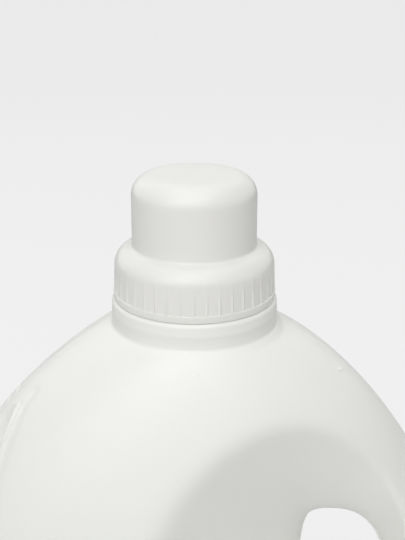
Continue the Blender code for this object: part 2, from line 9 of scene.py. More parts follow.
import bmesh
import bpy
import numpy as np
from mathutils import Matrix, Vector


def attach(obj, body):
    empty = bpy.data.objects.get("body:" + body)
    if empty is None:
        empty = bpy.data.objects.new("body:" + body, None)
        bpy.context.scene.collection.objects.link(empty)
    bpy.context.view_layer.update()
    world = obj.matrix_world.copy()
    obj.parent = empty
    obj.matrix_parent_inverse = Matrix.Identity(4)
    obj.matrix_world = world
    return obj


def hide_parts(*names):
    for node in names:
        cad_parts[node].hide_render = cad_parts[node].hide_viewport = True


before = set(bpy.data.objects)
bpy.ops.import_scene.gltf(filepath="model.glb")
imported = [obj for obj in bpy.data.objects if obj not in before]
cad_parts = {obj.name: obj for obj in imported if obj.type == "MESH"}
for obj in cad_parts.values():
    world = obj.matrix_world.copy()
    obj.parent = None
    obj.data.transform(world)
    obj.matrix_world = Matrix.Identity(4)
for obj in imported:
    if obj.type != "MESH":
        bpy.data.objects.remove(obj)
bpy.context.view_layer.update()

# %% [markdown]
# Curves and distances are worked out with arrays, and Blender's operators do the modelling.

# %% [markdown]
# Operators act on whatever is selected, and a freshly loaded frame is selected all over. So every piece
# starts with a clean slate: object mode, nothing selected, and one object made active.

# %% Small helpers
MERGE = 0.000005
MM = 0.001


def clean_slate():
    if bpy.context.object and bpy.context.object.mode != "OBJECT":
        bpy.ops.object.mode_set(mode="OBJECT")
    bpy.ops.object.select_all(action="DESELECT")


def make_active(piece):
    clean_slate()
    piece.select_set(True)
    bpy.context.view_layer.objects.active = piece


def name_piece(name):
    """Names the new active object and its mesh."""
    piece = bpy.context.object
    piece.name = name
    piece.data.name = name
    return piece


def apply_all(piece):
    make_active(piece)
    for step in list(piece.modifiers):
        bpy.ops.object.modifier_apply(modifier=step.name)


def places(piece):
    """All vertex positions of a piece, as rows of x, y and z."""
    found = np.empty(3 * len(piece.data.vertices))
    piece.data.vertices.foreach_get("co", found)
    return found.reshape(-1, 3)


def move_to(piece, points):
    piece.data.vertices.foreach_set("co", np.asarray(points, float).ravel())
    piece.data.update()


def pick(piece, mode, chosen):
    """Selects vertices, edges or faces of the active piece by a list of flags, and enters edit mode."""
    bpy.context.tool_settings.mesh_select_mode = [mode == kind for kind in ("VERT", "EDGE", "FACE")]
    for group in (piece.data.vertices, piece.data.edges, piece.data.polygons):
        group.foreach_set("select", [False] * len(group))
    group = {"VERT": piece.data.vertices, "EDGE": piece.data.edges, "FACE": piece.data.polygons}[mode]
    group.foreach_set("select", [bool(flag) for flag in chosen])
    bpy.ops.object.mode_set(mode="EDIT")


def weld(piece, threshold=MERGE):
    """Merges doubles and points every face outwards."""
    make_active(piece)
    bpy.ops.object.mode_set(mode="EDIT")
    bpy.ops.mesh.select_all(action="SELECT")
    bpy.ops.mesh.remove_doubles(threshold=threshold)
    bpy.ops.mesh.normals_make_consistent(inside=False)
    bpy.ops.object.mode_set(mode="OBJECT")


def shade(piece, angle=40):
    make_active(piece)
    bpy.ops.object.shade_smooth_by_angle(angle=radians(angle))


def grid(name, rows, columns):
    """A grid primitive, with the row and the column that each of its vertices belongs to."""
    clean_slate()
    bpy.ops.mesh.primitive_grid_add(x_subdivisions=columns - 1, y_subdivisions=rows - 1, size=1)
    piece = name_piece(name)
    flat = places(piece)
    column = np.rint((flat[:, 0] + 0.5) * (columns - 1)).astype(int)
    row = np.rint((flat[:, 1] + 0.5) * (rows - 1)).astype(int)
    return piece, row, column


def bezier(points, t):
    a, b, c, d = (np.outer(p, np.ones_like(t)) for p in points)
    return a * (1 - t) ** 3 + 3 * b * (1 - t) ** 2 * t + 3 * c * (1 - t) * t**2 + d * t**3


def smooth(share):
    share = np.clip(share, 0, 1)
    return share * share * (3 - 2 * share)


# %% [markdown]
# The camera stands in front of the jug, a little above the cap, and looks down by about twenty degrees.
# It is made first, so that every later look at the scene is taken through it.

# %% Camera
EYE = Vector((0.00305, -0.3784, 0.3844))
LOOK_DOWN = radians(19.9)
SENSOR_WIDTH = 36
FOCAL_SHARE = 1066 / 540

clean_slate()
bpy.ops.object.camera_add(location=EYE, rotation=(pi / 2 - LOOK_DOWN, 0, 0))
camera = bpy.context.object
camera.name = "portrait_camera"
camera.data.sensor_width = SENSOR_WIDTH
camera.data.lens = FOCAL_SHARE * SENSOR_WIDTH
camera.data.clip_start = 10 * MM
bpy.context.scene.camera = camera
bpy.context.scene.view_settings.view_transform = "Standard"
print("camera at", tuple(EYE), "lens", round(camera.data.lens, 1))

# %% [markdown]
# A mould's finish is made of patterns laid over each other: flow clouds, scuffs and grain. Such sums are
# easier to read as Python. A Wire holds one output socket and turns + - * into Math nodes. Nodes adds any
# other node to a tree, from its type, its settings and the values or links of its sockets.

# %% Shader sums


class Wire:
    def __init__(self, nodes, socket):
        self.nodes, self.socket = nodes, socket

    def sum(self, operation, first, second):
        return self.nodes.add("ShaderNodeMath", {"operation": operation}, {0: first, 1: second})

    def __add__(self, other):
        return self.sum("ADD", self, other)

    __radd__ = __add__

    def __mul__(self, other):
        return self.sum("MULTIPLY", self, other)

    __rmul__ = __mul__

    def __sub__(self, other):
        return self.sum("SUBTRACT", self, other)

    def __rsub__(self, other):
        return self.sum("SUBTRACT", other, self)

    def above(self, other):
        return self.sum("GREATER_THAN", self, other)

    def larger(self, other):
        return self.sum("MAXIMUM", self, other)


class Nodes:
    """A tree of nodes, of a material or of the world."""

    def __init__(self, tree):
        self.tree = tree

    def add(self, kind, settings, inputs, output=0):
        node = self.tree.nodes.new(kind)
        for key, value in settings.items():
            setattr(node, key, value)
        for key, value in inputs.items():
            self.feed(node.inputs[key], value)
        return Wire(self, node.outputs[output])

    def feed(self, socket, value):
        if isinstance(value, Wire):
            self.tree.links.new(value.socket, socket)
        else:
            socket.default_value = value

    def show(self, end, share, first, second):
        """Mixes two shaders and leads them to the node that ends the tree."""
        mixed = self.add("ShaderNodeMixShader", {}, {0: share, 1: first, 2: second})
        self.feed(self.tree.nodes[end].inputs[0], mixed)


class Finish(Nodes):
    """A material. Its shader's plain numbers are set by name, and its patterns are added as nodes."""

    def __init__(self, name, **numbers):
        self.material = bpy.data.materials.new(name)
        self.material.use_nodes = True
        super().__init__(self.material.node_tree)
        self.shader = self.tree.nodes["Principled BSDF"]
        for key, value in numbers.items():
            self.set(key.replace("_", " ").title(), value)

    def set(self, name, value):
        self.feed(self.shader.inputs[name], value)

    def place(self):
        return self.add("ShaderNodeTexCoord", {}, {}, "Object")

    def noise(self, scale, detail=2, roughness=0.5):
        inputs = {"Vector": self.place(), "Scale": scale, "Detail": detail, "Roughness": roughness}
        return self.add("ShaderNodeTexNoise", {}, inputs)

    def span(self, value, low, high, to_low=0, to_high=1):
        inputs = {"Value": value, "From Min": low, "From Max": high, "To Min": to_low, "To Max": to_high}
        return self.add("ShaderNodeMapRange", {"interpolation_type": "SMOOTHSTEP"}, inputs)

    def blend(self, share, first, second):
        """Mixes two colours. A Mix node keeps its factor in socket 0 and its colours in sockets 6 and 7."""
        return self.add("ShaderNodeMix", {"data_type": "RGBA"}, {0: share, 6: first, 7: second}, 2)

    def bump(self, height, strength, distance):
        inputs = {"Height": height, "Strength": strength, "Distance": distance}
        self.set("Normal", self.add("ShaderNodeBump", {}, inputs))


# %% [markdown]
# The jug's plastic is polyethylene blown into a sand-blasted mould: a white that is never quite even, a
# satin skin with a fine grain, faint flow clouds, and a few dark specks that were in the granulate. The
# cap is injected into a polished mould, so it is smoother. The insert is softer and a little milky, and
# the seal is a foam with closed cells.

# %% Plastics
BLOWN_WHITE = (0.888, 0.889, 0.857, 1)
BLOWN_CLOUD = (0.876, 0.880, 0.846, 1)
SPECK_GREY = (0.42, 0.41, 0.39, 1)
MOULDED_WHITE = (0.832, 0.828, 0.800, 1)
MOULDED_CLOUD = (0.818, 0.816, 0.786, 1)
INSERT_WHITE = (0.800, 0.800, 0.780, 1)
FOAM_GREY = (0.700, 0.700, 0.680, 1)
CLOUD_LOW, CLOUD_HIGH = 0.35, 0.70
SPECK_LEVEL = 0.815
SPECK_SHARE = 0.15
FINE_GRAIN_SHARE = 0.6
MILK_DEPTHS = (0.004, 0.004, 0.0035)
FOAM_CELLS_PER_METRE = 2600


def blown_plastic():
    finish = Finish("blown_plastic")
    clouds = finish.span(finish.noise(scale=14, detail=3, roughness=0.55), CLOUD_LOW, CLOUD_HIGH)
    colour = finish.blend(clouds, BLOWN_WHITE, BLOWN_CLOUD)
    specks = finish.noise(scale=420, detail=1).above(SPECK_LEVEL)
    finish.set("Base Color", finish.blend(specks * SPECK_SHARE, colour, SPECK_GREY))
    rubbed = finish.noise(scale=55, detail=4, roughness=0.6)
    finish.set("Roughness", finish.span(rubbed, low=0.30, high=0.75, to_low=0.36, to_high=0.47))
    fine, coarse = finish.noise(scale=1400), finish.noise(scale=260)
    grain = fine * FINE_GRAIN_SHARE + coarse * (1 - FINE_GRAIN_SHARE)
    finish.bump(grain, strength=0.10, distance=0.00010)
    return finish.material


def moulded_plastic():
    finish = Finish("moulded_plastic")
    clouds = finish.span(finish.noise(scale=30), CLOUD_LOW, CLOUD_HIGH)
    finish.set("Base Color", finish.blend(clouds, MOULDED_WHITE, MOULDED_CLOUD))
    scuffs = finish.noise(scale=120, detail=5, roughness=0.65)
    finish.set("Roughness", finish.span(scuffs, low=0.35, high=0.75, to_low=0.30, to_high=0.36))
    finish.bump(finish.noise(scale=700), strength=0.03, distance=0.00006)
    return finish.material


def insert_plastic():
    finish = Finish("insert_plastic", subsurface_weight=0.3, subsurface_radius=MILK_DEPTHS)
    milk = finish.span(finish.noise(scale=60, detail=3), low=0.3, high=0.7)
    finish.set("Base Color", finish.blend(milk, INSERT_WHITE, MOULDED_CLOUD))
    scuffs = finish.noise(scale=150, detail=3)
    finish.set("Roughness", finish.span(scuffs, low=0.3, high=0.7, to_low=0.30, to_high=0.42))
    finish.bump(finish.noise(scale=700), strength=0.05, distance=0.00008)
    return finish.material


def seal_foam():
    finish = Finish("seal_foam")
    inputs = {"Vector": finish.place(), "Scale": FOAM_CELLS_PER_METRE}
    cells = finish.add("ShaderNodeTexVoronoi", {}, inputs, "Distance")
    finish.set("Base Color", finish.blend(finish.span(cells, low=0.2, high=0.8), FOAM_GREY, INSERT_WHITE))
    finish.set("Roughness", finish.span(cells, low=0.0, high=0.8, to_low=0.70, to_high=0.90))
    finish.bump(cells, strength=0.4, distance=0.00010)
    return finish.material


BLOWN = blown_plastic()
MOULDED = moulded_plastic()
INSERT = insert_plastic()
FOAM = seal_foam()
print("finishes:", [m.name for m in (BLOWN, MOULDED, INSERT, FOAM)])

# %% [markdown]
# The body is the part that takes the most skill. A designer draws it as three outlines: one on the grip's
# side, one on the handle's side and one seen from the side, which front and back share.
# Each outline is one curve for the shoulder and one for the flank, so it bends without a break.

# %% Body outlines
GRIP_SIDE = 0.1024
HANDLE_SIDE = 0.1034
FRONT = 0.0596
FOOT_SHARES = (0.908, 0.889, 0.902)
WIDEST_Z = (0.1230, 0.1200, 0.1250)
SLOPES = (radians(30.4), radians(17.7), radians(43))
REACH_SHARES = (0.40, 0.40, 0.31)
CORNER_SHARES = (0.475, 0.407, 0.39)
FLANK_SHARE = 0.40
SHOULDER_TOP = 0.2270
SHOULDER_DROPS = (0.0, 0.0012, 0.0)
COLLAR_R = 0.0313
COLLAR_FILLET = 0.0016
SHOULDER_R = COLLAR_R + COLLAR_FILLET
CURVE_POINTS = 400


class Outline:
    """Half width of the body against height, on one of its sides."""

    def __init__(self, side, widest):
        t = np.linspace(0, 1, CURVE_POINTS)
        foot, widest_z = widest * FOOT_SHARES[side], WIDEST_Z[side]
        reach = REACH_SHARES[side] * (widest - SHOULDER_R)
        top = SHOULDER_TOP - SHOULDER_DROPS[side]
        corner = widest_z + CORNER_SHARES[side] * (top - widest_z)
        eased = (SHOULDER_R + reach, top - reach * tan(SLOPES[side]))
        shoulder = bezier([(widest, widest_z), (widest, corner), eased, (SHOULDER_R, top)], t)
        fall = FLANK_SHARE * widest_z
        lean = (foot + widest) / 2
        flank = bezier([(foot, 0), (lean, fall), (widest, widest_z - fall), (widest, widest_z)], t)
        self.z = np.concatenate([flank[1], shoulder[1][1:]])
        self.half = np.concatenate([flank[0], shoulder[0][1:]])

    def at(self, z):
        return np.interp(z, self.z, self.half)

    def lengths(self):
        """Length of the outline from the foot up to each of its points."""
        return np.concatenate([[0], np.cumsum(np.hypot(np.diff(self.z), np.diff(self.half)))])


GRIP_OUTLINE, HANDLE_OUTLINE, FRONT_OUTLINE = (
    Outline(side, widest) for side, widest in enumerate((GRIP_SIDE, HANDLE_SIDE, FRONT))
)
print("widest:", round(GRIP_SIDE + HANDLE_SIDE, 4), "deepest:", 2 * FRONT)

# %% [markdown]
# Seen from above, the body is round under the collar, full at the foot, and slim and pointed at the
# handle, where a hand has to close round it. A section is four quarter curves, and the two shares of
# each say how full it is along the body and across it. They change with height, so the round collar
# flows into the slim handle without an edge.

# %% Body sections
SHOULDER_FADE = 0.0620
FOOT_FADE = 0.0600
CIRCLE_SHARE = 0.5523
GRIP_FULLNESS_SHARES = (0.61, 0.58)
HANDLE_FULLNESS_SHARES = (0.50, 0.34)
FOOT_FULLNESS_SHARES = (0.58, 0.54)
HALVINGS = 40


def fullness(x, z):
    """Shares of a section's quarter curve: round under the collar, slim at the handle, full at the foot."""
    below_collar = smooth((SHOULDER_TOP - z) / SHOULDER_FADE)
    above_foot = smooth(z / FOOT_FADE)
    shares = []
    for grip, handle, foot in zip(GRIP_FULLNESS_SHARES, HANDLE_FULLNESS_SHARES, FOOT_FULLNESS_SHARES):
        body = foot + above_foot * (np.where(x < 0, grip, handle) - foot)
        shares.append(CIRCLE_SHARE + below_collar * (body - CIRCLE_SHARE))
    return shares


def quarter_curve(s, share):
    """How far a quarter curve has come at its parameter s, from 0 to 1."""
    return 3 * share * (1 - s) ** 2 * s + 3 * (1 - s) * s**2 + s**3


def parameter_at(way, share):
    """The parameter at which a quarter curve has come that far, found by halving."""
    target = np.clip(way, 0, 1)
    low, high = np.zeros_like(target), np.ones_like(target)
    for _ in range(HALVINGS):
        middle = (low + high) / 2
        past = quarter_curve(middle, share) > target
        low, high = np.where(past, low, middle), np.where(past, middle, high)
    return low


def body_depth(x, z):
    """Half depth of the plain body at a point seen from the front."""
    side = np.where(x < 0, GRIP_OUTLINE.at(z), HANDLE_OUTLINE.at(z))
    along, across = fullness(x, z)
    return FRONT_OUTLINE.at(z) * quarter_curve(1 - parameter_at(np.abs(x) / side, along), across)


print("half depth under the collar:", body_depth(np.zeros(1), np.array([SHOULDER_TOP])).round(4))

# %% [markdown]
# Fingers pass through the opening beside the body, and a wide soft pocket leads to it from both faces.
# The pocket is a funnel: at the opening it starts with a round lip, at its crest line it reaches the
# body's own surface, and there the two are blended over a band as wide as a finger.

# %% Pocket and opening
HOLE_SIDES = (0.0424, 0.0815)
HOLE_ENDS = (0.1448, 0.0520)
HOLE_END_XS = (0.0545, 0.0590)
HOLE_END_SHARES = (0.90, 0.38)
HOLE_SIDE_SHARE = 0.92
CREST_SIDES = (-0.0234, 0.0900)
CREST_ENDS = (0.2007, 0.0200)
CREST_END_XS = (0.0320, 0.0560)
CREST_END_SHARES = (0.55, 0.42)
CREST_SIDE_SHARE = 0.60
LIP_R = 0.0060
CREST_ROUNDING = 0.0095
BATCHES = 40


class Loop:
    """A closed outline seen from the front, with four quarter curves."""

    def __init__(self, sides, ends, end_xs, end_shares, side_share):
        middle = sum(ends) / 2
        self.centre = np.array([sum(sides) / 2, middle])
        t = np.linspace(0, 1, CURVE_POINTS)
        points = []
        for end_x, end_z in zip(end_xs, ends):
            for side_x, end_share in zip(sides, end_shares):
                near = end_x + (side_x - end_x) * end_share
                beside = middle + (end_z - middle) * side_share
                corners = [(side_x, middle), (side_x, beside), (near, end_z), (end_x, end_z)]
                points.append(bezier(corners, t).T)
        self.points = np.concatenate(points)
        offset = self.points - self.centre
        angle = np.arctan2(offset[:, 1], offset[:, 0])
        order = np.argsort(angle)
        self.angles, self.radii = angle[order], np.hypot(*offset[order].T)

    def radius(self, angle):
        return np.interp(angle, self.angles, self.radii, period=2 * pi)

    def reach(self, x, z):
        """Shortest distance from each point to the outline."""
        found = []
        for xs, zs in zip(np.array_split(x, BATCHES), np.array_split(z, BATCHES)):
            gap = np.hypot(xs[:, None] - self.points[None, :, 0], zs[:, None] - self.points[None, :, 1])
            found.append(gap.min(axis=1))
        return np.concatenate(found)


HOLE = Loop(HOLE_SIDES, HOLE_ENDS, HOLE_END_XS, HOLE_END_SHARES, HOLE_SIDE_SHARE)
CREST = Loop(CREST_SIDES, CREST_ENDS, CREST_END_XS, CREST_END_SHARES, CREST_SIDE_SHARE)
ANGLES = np.linspace(-pi, pi, 2 * CURVE_POINTS)
STEPS = np.linspace(0, HANDLE_SIDE + GRIP_SIDE, 2 * CURVE_POINTS)
RAY_X = HOLE.centre[0] + np.outer(np.cos(ANGLES), STEPS) - CREST.centre[0]
RAY_Z = HOLE.centre[1] + np.outer(np.sin(ANGLES), STEPS) - CREST.centre[1]
BEYOND = np.hypot(RAY_X, RAY_Z) - CREST.radius(np.arctan2(RAY_Z, RAY_X))
CREST_RADII = np.array([np.interp(0, line, STEPS) for line in BEYOND])
CREST_X = HOLE.centre[0] + CREST_RADII * np.cos(ANGLES)
CREST_Z = HOLE.centre[1] + CREST_RADII * np.sin(ANGLES)
CREST_RUN = HOLE.reach(CREST_X, CREST_Z)
CREST_RISE = body_depth(CREST_X, CREST_Z)
STEEPNESS = np.maximum((CREST_RISE**2 - 2 * LIP_R * CREST_RUN) / CREST_RUN**2, 0)
print("opening, mm:", [round(1000 * (b - a)) for a, b in (HOLE_SIDES, HOLE_ENDS[::-1])])


def surface_depth(x, z, plain):
    """Half depth of the finished front: the smaller of body and funnel, blended where they meet."""
    angle = np.arctan2(z - HOLE.centre[1], x - HOLE.centre[0])
    steepness = np.interp(angle, ANGLES, STEEPNESS, period=2 * pi)
    softness = CREST_ROUNDING * np.sqrt(steepness)
    distance = HOLE.reach(x, z)
    funnel = np.sqrt(2 * LIP_R * distance + steepness * distance**2)
    share = np.maximum(softness - np.abs(plain - funnel), 0) / np.maximum(softness, MERGE)
    return np.minimum(plain, funnel) - share**3 * softness / 6


# %% [markdown]
# Blender has no jug primitive, but a plain grid is enough: each of its rows becomes one section of the
# body's front half, from the raised panel under the foot up to the rim of the neck. Every vertex is then
# put in place by the formulas above, which no brush could do as evenly.

# %% Sections of the front half
QUARTER = 44
BODY_ROWS = 104
HEEL_R = 0.0100
STANDING_RING = 0.0060
PUSH_UP = 0.0040
PUSH_UP_SLOPE = 0.0090
COLLAR_TOP = 0.2380
COLLAR_ROUND = 0.0020
SEAM_Z = 0.2330
SEAM_PROUD = 0.00016
SEAM_HALF = 0.0005
NECK_R = 0.0272
NECK_TOP = 0.2530
NECK_CHAMFER = 0.0005
ARC_STEPS = 6


def body_section(z, inset, scale=1):
    s = np.concatenate([1 - np.arange(QUARTER) / QUARTER, np.arange(QUARTER + 1) / QUARTER])
    toward = np.concatenate([np.ones(QUARTER), -np.ones(QUARTER + 1)])
    z = np.full_like(s, z)
    along, across = fullness(toward, z)
    side = np.where(toward < 0, GRIP_OUTLINE.at(z), HANDLE_OUTLINE.at(z)) - inset
    depth = (FRONT_OUTLINE.at(z) - inset) * quarter_curve(1 - s, across)
    return scale * toward * side * quarter_curve(s, along), scale * depth, z


def round_section(r, z):
    angle = np.linspace(0, pi, 2 * QUARTER + 1)
    return r * np.cos(angle), r * np.sin(angle), np.full_like(angle, z)


def collar_profile():
    """Radius and height from the shoulder's fillet up to the neck's rim, with the mould's ring seam."""
    quarter = np.linspace(0, pi / 2, ARC_STEPS)
    rows = []
    for a in quarter[1:]:
        rows.append((SHOULDER_R - COLLAR_FILLET * sin(a), SHOULDER_TOP + COLLAR_FILLET * (1 - cos(a))))
    rows += [(COLLAR_R, SEAM_Z - SEAM_HALF), (COLLAR_R + SEAM_PROUD, SEAM_Z)]
    rows.append((COLLAR_R, SEAM_Z + SEAM_HALF))
    for a in quarter:
        rows.append((COLLAR_R - COLLAR_ROUND * (1 - cos(a)), COLLAR_TOP - COLLAR_ROUND * (1 - sin(a))))
    rows += [(NECK_R, COLLAR_TOP), (NECK_R, NECK_TOP - NECK_CHAMFER), (NECK_R - NECK_CHAMFER, NECK_TOP)]
    return rows


def all_sections():
    sections = []
    ring = HEEL_R + STANDING_RING
    for scale in np.linspace(0, 1, ARC_STEPS):
        sections.append(body_section(PUSH_UP, ring + PUSH_UP_SLOPE, scale))
    for share in np.linspace(1, 0, 2 * ARC_STEPS)[1:]:
        sections.append(body_section(PUSH_UP * smooth(share), ring + PUSH_UP_SLOPE * share))
    for a in np.linspace(0, pi / 2, ARC_STEPS)[:-1]:
        sections.append(body_section(HEEL_R * (1 - cos(a)), HEEL_R * (1 - sin(a))))
    below = len(sections)
    length = HANDLE_OUTLINE.lengths()
    start = np.interp(HEEL_R, HANDLE_OUTLINE.z, length)
    heights = np.interp(np.linspace(start, length[-1], BODY_ROWS), length, HANDLE_OUTLINE.z)
    for z in heights:
        x, depth, z = body_section(z, 0)
        depth = surface_depth(x, z, depth)
        depth[0] = depth[-1] = 0
        sections.append((x, depth, z))
    sections += [round_section(r, z) for r, z in collar_profile()]
    return np.array(sections), below, heights


SECTIONS, BELOW, HEIGHTS = all_sections()
print("sections:", len(SECTIONS), "points in each:", SECTIONS.shape[2])

# %% [markdown]
# On the real jug the pocket's walls run smoothly into the finger opening, where the two halves of the
# mould meet. In front of the handle the grid is too coarse for that. Its cells are deleted there, which
# leaves a window. The rim of that window is found as the open edges away from the parting plane, the
# neck and the foot.

# %% Skin with its window
WINDOW_ROOM = 0.0150
WINDOW_SHARE = 0.80
WINDOW_MARGIN = 3


def make_half_skin():
    skin, row, column = grid("jug_skin", len(SECTIONS), SECTIONS.shape[2])
    x, depth, z = (SECTIONS[row, part, column] for part in range(3))
    move_to(skin, np.stack([x, -depth, z], 1))

    first = BELOW + int(np.searchsorted(HEIGHTS, CREST_ENDS[1])) - 1
    last = BELOW + int(np.searchsorted(HEIGHTS, HOLE_ENDS[0] + WINDOW_ROOM))
    right, left = round(QUARTER * (1 - WINDOW_SHARE)), QUARTER - WINDOW_MARGIN
    in_window = []
    for face in skin.data.polygons:
        corners = list(face.vertices)
        k, i = row[corners].min(), column[corners].min()
        in_window.append(first <= k < last and right <= i < left)
    pick(skin, "FACE", in_window)
    bpy.ops.mesh.delete(type="FACE")
    bpy.ops.object.mode_set(mode="OBJECT")
    print("window cells deleted:", sum(in_window))
    return skin


def rim_of_window(skin):
    """Flags of the edges round the window, one for each edge of the skin."""
    edge_of = {tuple(sorted(edge.vertices)): edge.index for edge in skin.data.edges}
    used = np.zeros(len(skin.data.edges), int)
    for face in skin.data.polygons:
        for key in face.edge_keys:
            used[edge_of[key]] += 1
    co = places(skin)
    flags = []
    for edge, count in zip(skin.data.edges, used):
        _, y, z = co[list(edge.vertices)].mean(axis=0)
        at_other_rim = y > -MERGE or z > NECK_TOP - MERGE or z < CREST_ENDS[1] - WINDOW_ROOM
        flags.append(count == 1 and not at_other_rim)
    return flags


skin = make_half_skin()
rim = rim_of_window(skin)
rim_vertices = {v for edge, flag in zip(skin.data.edges, rim) if flag for v in edge.vertices}
rim_points = places(skin)[sorted(rim_vertices)]
rim_offset = rim_points[:, [0, 2]] - HOLE.centre
rim_angle = np.arctan2(rim_offset[:, 1], rim_offset[:, 0])
rim_order = np.argsort(rim_angle)
RIM_ANGLES, RIM_RADII = rim_angle[rim_order], np.hypot(*rim_offset[rim_order].T)
print("edges round the window:", sum(rim))

# %% [markdown]
# The window's rim is extruded inwards again and again until it reaches the opening. Each new ring lies
# closer to the next, because the lip is the most curved part of all. Then the front half is mirrored to
# the back, as the two halves of the mould are.

# %% Rings that lead to the opening
RINGS = 26
RING_POWER = 1.7

pick(skin, "EDGE", rim)
for ring in range(RINGS - 1, -1, -1):
    share = (ring / RINGS) ** RING_POWER
    bpy.ops.mesh.extrude_edges_indiv()
    shell = bmesh.from_edit_mesh(skin.data)
    new = [v for v in shell.verts if v.select]
    offset = np.array([(v.co.x, v.co.z) for v in new]) - HOLE.centre
    angle = np.arctan2(offset[:, 1], offset[:, 0])
    corner = np.interp(angle, RIM_ANGLES, RIM_RADII, period=2 * pi)
    radius = HOLE.radius(angle) + share * (corner - HOLE.radius(angle))
    x = HOLE.centre[0] + radius * np.cos(angle)
    z = HOLE.centre[1] + radius * np.sin(angle)
    depth = surface_depth(x, z, body_depth(x, z)) if ring else 0 * x
    for vertex, place in zip(new, zip(x, -depth, z)):
        vertex.co = place
    bmesh.update_edit_mesh(skin.data)
bpy.ops.object.mode_set(mode="OBJECT")

mirror = skin.modifiers.new("back_half", "MIRROR")
mirror.use_axis = (False, True, False)
mirror.merge_threshold = MERGE
apply_all(skin)
weld(skin)
print("skin: vertices", len(skin.data.vertices), "faces", len(skin.data.polygons))

# %% [markdown]
# Sheets and tubes are the two forms that carry the fine pieces. A sheet is a plain grid whose vertices
# are sent to computed places. A tube is a sheet wound round a path, and it may be flattened into a fin
# or a bead.

# %% Sheets and tubes
FINE_AROUND = 8


def sheet(name, points):
    """A grid primitive with its vertices moved to an array of places, row by row."""
    piece, row, column = grid(name, *points.shape[:2])
    move_to(piece, points[row, column])
    return piece


def unit(vectors):
    return vectors / np.linalg.norm(vectors, axis=-1, keepdims=True)


def tube(name, path, flat_way, wide, thin, taper=0.0, around=10):
    """A tube along a path, thin along flat_way and wide across it. Its ends may run out to points."""
    along = unit(np.gradient(path, axis=0))
    over = unit(flat_way - (flat_way * along).sum(1, keepdims=True) * along)
    side = np.cross(along, over)
    run = np.linspace(0, 1, len(path))
    size = smooth(np.minimum(run, 1 - run) / taper) if taper else np.ones_like(run)
    angle = np.linspace(0, 2 * pi, around + 1)[None, :, None]
    ring = wide * np.cos(angle) * side[:, None] + thin * np.sin(angle) * over[:, None]
    piece = sheet(name, path[:, None] + size[:, None, None] * ring)
    weld(piece)
    shade(piece)
    return piece


def dress(piece, finish, body):
    piece.data.materials.clear()
    piece.data.materials.append(finish)
    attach(piece, body)


# %% [markdown]
# The side grip is a pair of tall pointed leaves sunk into the skin, with a rib-crossed spine left
# between them. A leaf is drawn from the side, as two curves that meet in a point. A crease follows its
# outer edge, with a shallow valley beside it. Only the upper front quarter is drawn, because the rest
# mirrors it.

# %% Grip leaf
GRIP_TOP = 0.1970
GRIP_BOTTOM = 0.0300
GRIP_MIDDLE = (GRIP_TOP + GRIP_BOTTOM) / 2
GRIP_POINT_Y = 0.0110
GRIP_SHOULDER_Y = 0.0245
GRIP_SPINE_Y = 0.0058
GRIP_REACH_Y = 0.0370
GRIP_HEIGHT_SHARES = (0.50, 0.80, 0.88, 0.96)
CREASE_REACH = 0.0030
CREASE_SHOULDER_Y = 0.0210
CREASE_HIGH_SHARE = 0.92
CREASE_KNEE = (0.0142, 0.1980)
VALLEY_OFFSET = 0.0016
VALLEY_END = (0.0136, 0.2028)
VALLEY_END_POINTS = 12
GROOVE_SHARE = 0.5
LINE_POINTS = 60


def leaf_edges():
    """Outer and inner edge of the front leaf's upper half, as places seen from the side."""
    t = np.linspace(0, 1, LINE_POINTS)
    half = GRIP_TOP - GRIP_MIDDLE
    low, lower, high, top = (share * half for share in GRIP_HEIGHT_SHARES)
    reach, spine = GRIP_REACH_Y, GRIP_SPINE_Y
    outer = bezier([(reach, 0), (reach, low), (GRIP_SHOULDER_Y, high), (GRIP_POINT_Y, half)], t).T
    inner = bezier([(GRIP_POINT_Y, half), (spine, top), (spine, high), (spine, lower)], t).T
    return outer + (0, GRIP_MIDDLE), inner + (0, GRIP_MIDDLE)


def crease_line(offset):
    """A contour outside the leaf, from its middle up to its point."""
    t = np.linspace(0, 1, LINE_POINTS)
    reach, low = GRIP_REACH_Y + offset, GRIP_HEIGHT_SHARES[0] * (GRIP_TOP - GRIP_MIDDLE)
    knee_y, knee_z = CREASE_KNEE
    high = CREASE_HIGH_SHARE * (GRIP_TOP - GRIP_MIDDLE)
    aside = offset - CREASE_REACH
    corners = [(reach, 0), (reach, low), (CREASE_SHOULDER_Y + aside, high)]
    corners.append((knee_y + aside, knee_z - GRIP_MIDDLE))
    return bezier(corners, t).T + (0, GRIP_MIDDLE)


OUTER, INNER = leaf_edges()
SPINE_FOOT = [(GRIP_SPINE_Y, GRIP_MIDDLE)]
LEAF = np.concatenate([OUTER, INNER[1:], SPINE_FOOT])
SPINE = np.concatenate([SPINE_FOOT, INNER[::-1]])
CREASE = crease_line(CREASE_REACH)
GROOVE = crease_line(CREASE_REACH * GROOVE_SHARE)
VALLEY = crease_line(CREASE_REACH + VALLEY_OFFSET)
VALLEY = np.concatenate([VALLEY, np.linspace(VALLEY[-1], VALLEY_END, VALLEY_END_POINTS)[1:]])
print("leaf, mm high:", round((GRIP_TOP - GRIP_BOTTOM) / MM), "wide:", round(GRIP_REACH_Y / MM))

# %% [markdown]
# A fingertip finds the leaf by its depth: the floor drops steeply below the pointed end, is deepest just
# under it, and rises a little again further down. The distance to the leaf's edge gives each spot of the
# skin its depth, so the walls stay equally steep all the way round.

# %% Depth of the leaf
GRIP_DEPTH = 0.0024
POINT_DEPTH = 0.0023
POINT_REACH = 0.0260
GRIP_FALL = 0.0066
GRIP_SLOPE = 0.0012
VALLEY_DEPTH = 0.00070
VALLEY_WIDTH = 0.0022
GROOVE_DEPTH = 0.00036
GROOVE_WIDTH = 0.0006


